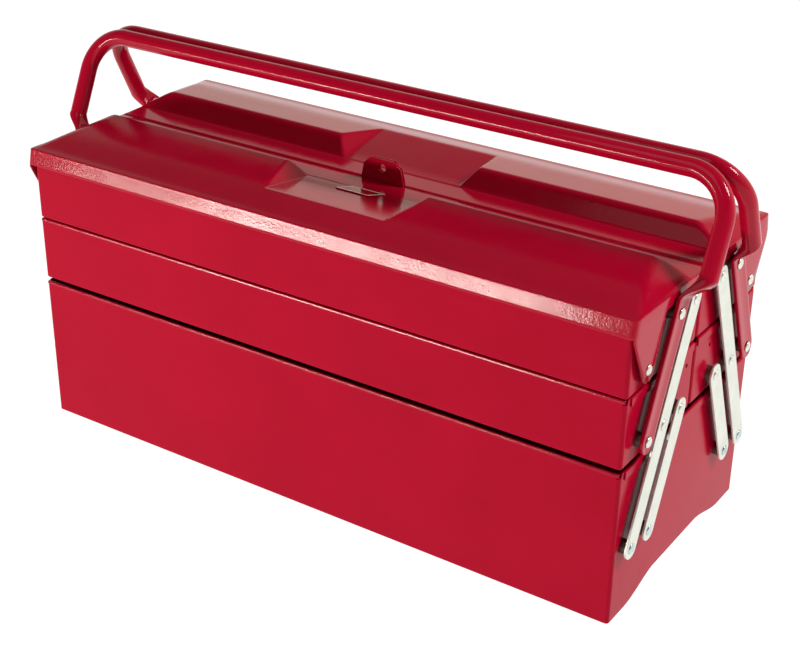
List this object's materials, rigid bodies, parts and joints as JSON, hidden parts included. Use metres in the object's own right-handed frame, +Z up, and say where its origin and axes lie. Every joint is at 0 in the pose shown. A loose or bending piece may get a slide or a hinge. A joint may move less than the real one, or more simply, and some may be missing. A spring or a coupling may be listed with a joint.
{
  "type": "cantilever toolbox",
  "caption": "Steel carrying box for hand tools whose tiers swing apart on riveted links, with hinged hipped lids, hasp tabs for a padlock and tubular carrying handles.",
  "frame": {"origin": "centre of the footprint on the surface that the box stands on, with the box closed", "axes": "+X along the box, +Y from the front half to the back half, +Z up"},
  "size_m": [0.5428, 0.2076, 0.2932],
  "materials": {
    "tray_paint": "gloss crimson enamel on folded sheet steel",
    "lid_paint": "gloss crimson enamel on pressed sheet steel",
    "handle_paint": "gloss crimson enamel on bent steel tube",
    "links": "pale zinc plate",
    "rivets": "domed bright zinc plate",
    "spacers": "satin zinc plate",
    "badge": "printed plate with a pale border, no lettering"
  },
  "bodies": {
    "base": {"bottom_tray_body": "tray_paint", "bottom_tray_left_end": "tray_paint", "bottom_tray_right_end": "tray_paint", "bottom_tray_rivets": "rivets", "bottom_tray_spacers": "spacers"},
    "front_links_long": {"front_left_long_link": "links", "front_right_long_link": "links"},
    "front_links_short": {"front_left_short_link": "links", "front_right_short_link": "links"},
    "front_tray_middle": {"front_middle_tray_body": "tray_paint", "front_middle_tray_left_end": "tray_paint", "front_middle_tray_right_end": "tray_paint", "front_middle_tray_rivets": "rivets", "front_middle_tray_spacers": "spacers"},
    "front_tray_top": {"front_top_tray_body": "tray_paint", "front_top_tray_left_end": "tray_paint", "front_top_tray_right_end": "tray_paint", "front_top_tray_rivets": "rivets", "front_top_tray_spacers": "spacers"},
    "front_cover": {"front_lid_panel": "lid_paint", "front_lid_left_end": "lid_paint", "front_lid_right_end": "lid_paint", "front_hasp_tab": "lid_paint", "badge_plate": "badge"},
    "front_bail": {"front_handle": "handle_paint"},
    "back_links_long": {"back_left_long_link": "links", "back_right_long_link": "links"},
    "back_links_short": {"back_left_short_link": "links", "back_right_short_link": "links"},
    "back_tray_middle": {"back_middle_tray_body": "tray_paint", "back_middle_tray_left_end": "tray_paint", "back_middle_tray_right_end": "tray_paint", "back_middle_tray_rivets": "rivets", "back_middle_tray_spacers": "spacers"},
    "back_tray_top": {"back_top_tray_body": "tray_paint", "back_top_tray_left_end": "tray_paint", "back_top_tray_right_end": "tray_paint", "back_top_tray_rivets": "rivets", "back_top_tray_spacers": "spacers"},
    "back_cover": {"back_lid_panel": "lid_paint", "back_lid_left_end": "lid_paint", "back_lid_right_end": "lid_paint", "back_hasp_tab": "lid_paint"},
    "back_bail": {"back_handle": "handle_paint"}
  },
  "joints": [
    {"name": "front_fold", "type": "hinge", "parent": "base", "child": "front_links_long", "pos_m": [0, -0.08656, 0.05478], "axis": [1, 0, 0], "range_deg": [0, 47.5]},
    {"name": "front_middle_level", "type": "hinge", "parent": "front_links_long", "child": "front_tray_middle", "pos_m": [0, -0.0535, 0.1308], "axis": [1, 0, 0], "range_deg": [-47.5, 0]},
    {"name": "front_top_level", "type": "hinge", "parent": "front_links_long", "child": "front_tray_top", "pos_m": [0, -0.02044, 0.20682], "axis": [1, 0, 0], "range_deg": [-47.5, 0]},
    {"name": "front_short_swing", "type": "hinge", "parent": "base", "child": "front_links_short", "pos_m": [0, -0.06086, 0.05478], "axis": [1, 0, 0], "range_deg": [0, 47.5]},
    {"name": "front_handle_swing", "type": "hinge", "parent": "front_tray_middle", "child": "front_bail", "pos_m": [0, -0.0783, 0.1308], "axis": [1, 0, 0], "range_deg": [0, 47.5]},
    {"name": "front_lid_hinge", "type": "hinge", "parent": "front_tray_top", "child": "front_cover", "pos_m": [0, -0.079, 0.1812], "axis": [1, 0, 0], "range_deg": [0, 105]},
    {"name": "back_fold", "type": "hinge", "parent": "base", "child": "back_links_long", "pos_m": [0, 0.08656, 0.05478], "axis": [-1, 0, 0], "range_deg": [0, 47.5]},
    {"name": "back_middle_level", "type": "hinge", "parent": "back_links_long", "child": "back_tray_middle", "pos_m": [0, 0.0535, 0.1308], "axis": [-1, 0, 0], "range_deg": [-47.5, 0]},
    {"name": "back_top_level", "type": "hinge", "parent": "back_links_long", "child": "back_tray_top", "pos_m": [0, 0.02044, 0.20682], "axis": [-1, 0, 0], "range_deg": [-47.5, 0]},
    {"name": "back_short_swing", "type": "hinge", "parent": "base", "child": "back_links_short", "pos_m": [0, 0.06086, 0.05478], "axis": [-1, 0, 0], "range_deg": [0, 47.5]},
    {"name": "back_handle_swing", "type": "hinge", "parent": "back_tray_middle", "child": "back_bail", "pos_m": [0, 0.0783, 0.1308], "axis": [-1, 0, 0], "range_deg": [0, 47.5]},
    {"name": "back_lid_hinge", "type": "hinge", "parent": "back_tray_top", "child": "back_cover", "pos_m": [0, 0.079, 0.1812], "axis": [-1, 0, 0], "range_deg": [0, 105]}
  ],
  "couplings": [
    {"joint": "front_middle_level", "follows": "front_fold", "ratio": -1},
    {"joint": "front_top_level", "follows": "front_fold", "ratio": -1},
    {"joint": "front_short_swing", "follows": "front_fold", "ratio": 1},
    {"joint": "front_handle_swing", "follows": "front_fold", "ratio": 1},
    {"joint": "back_middle_level", "follows": "back_fold", "ratio": -1},
    {"joint": "back_top_level", "follows": "back_fold", "ratio": -1},
    {"joint": "back_short_swing", "follows": "back_fold", "ratio": 1},
    {"joint": "back_handle_swing", "follows": "back_fold", "ratio": 1}
  ]
}
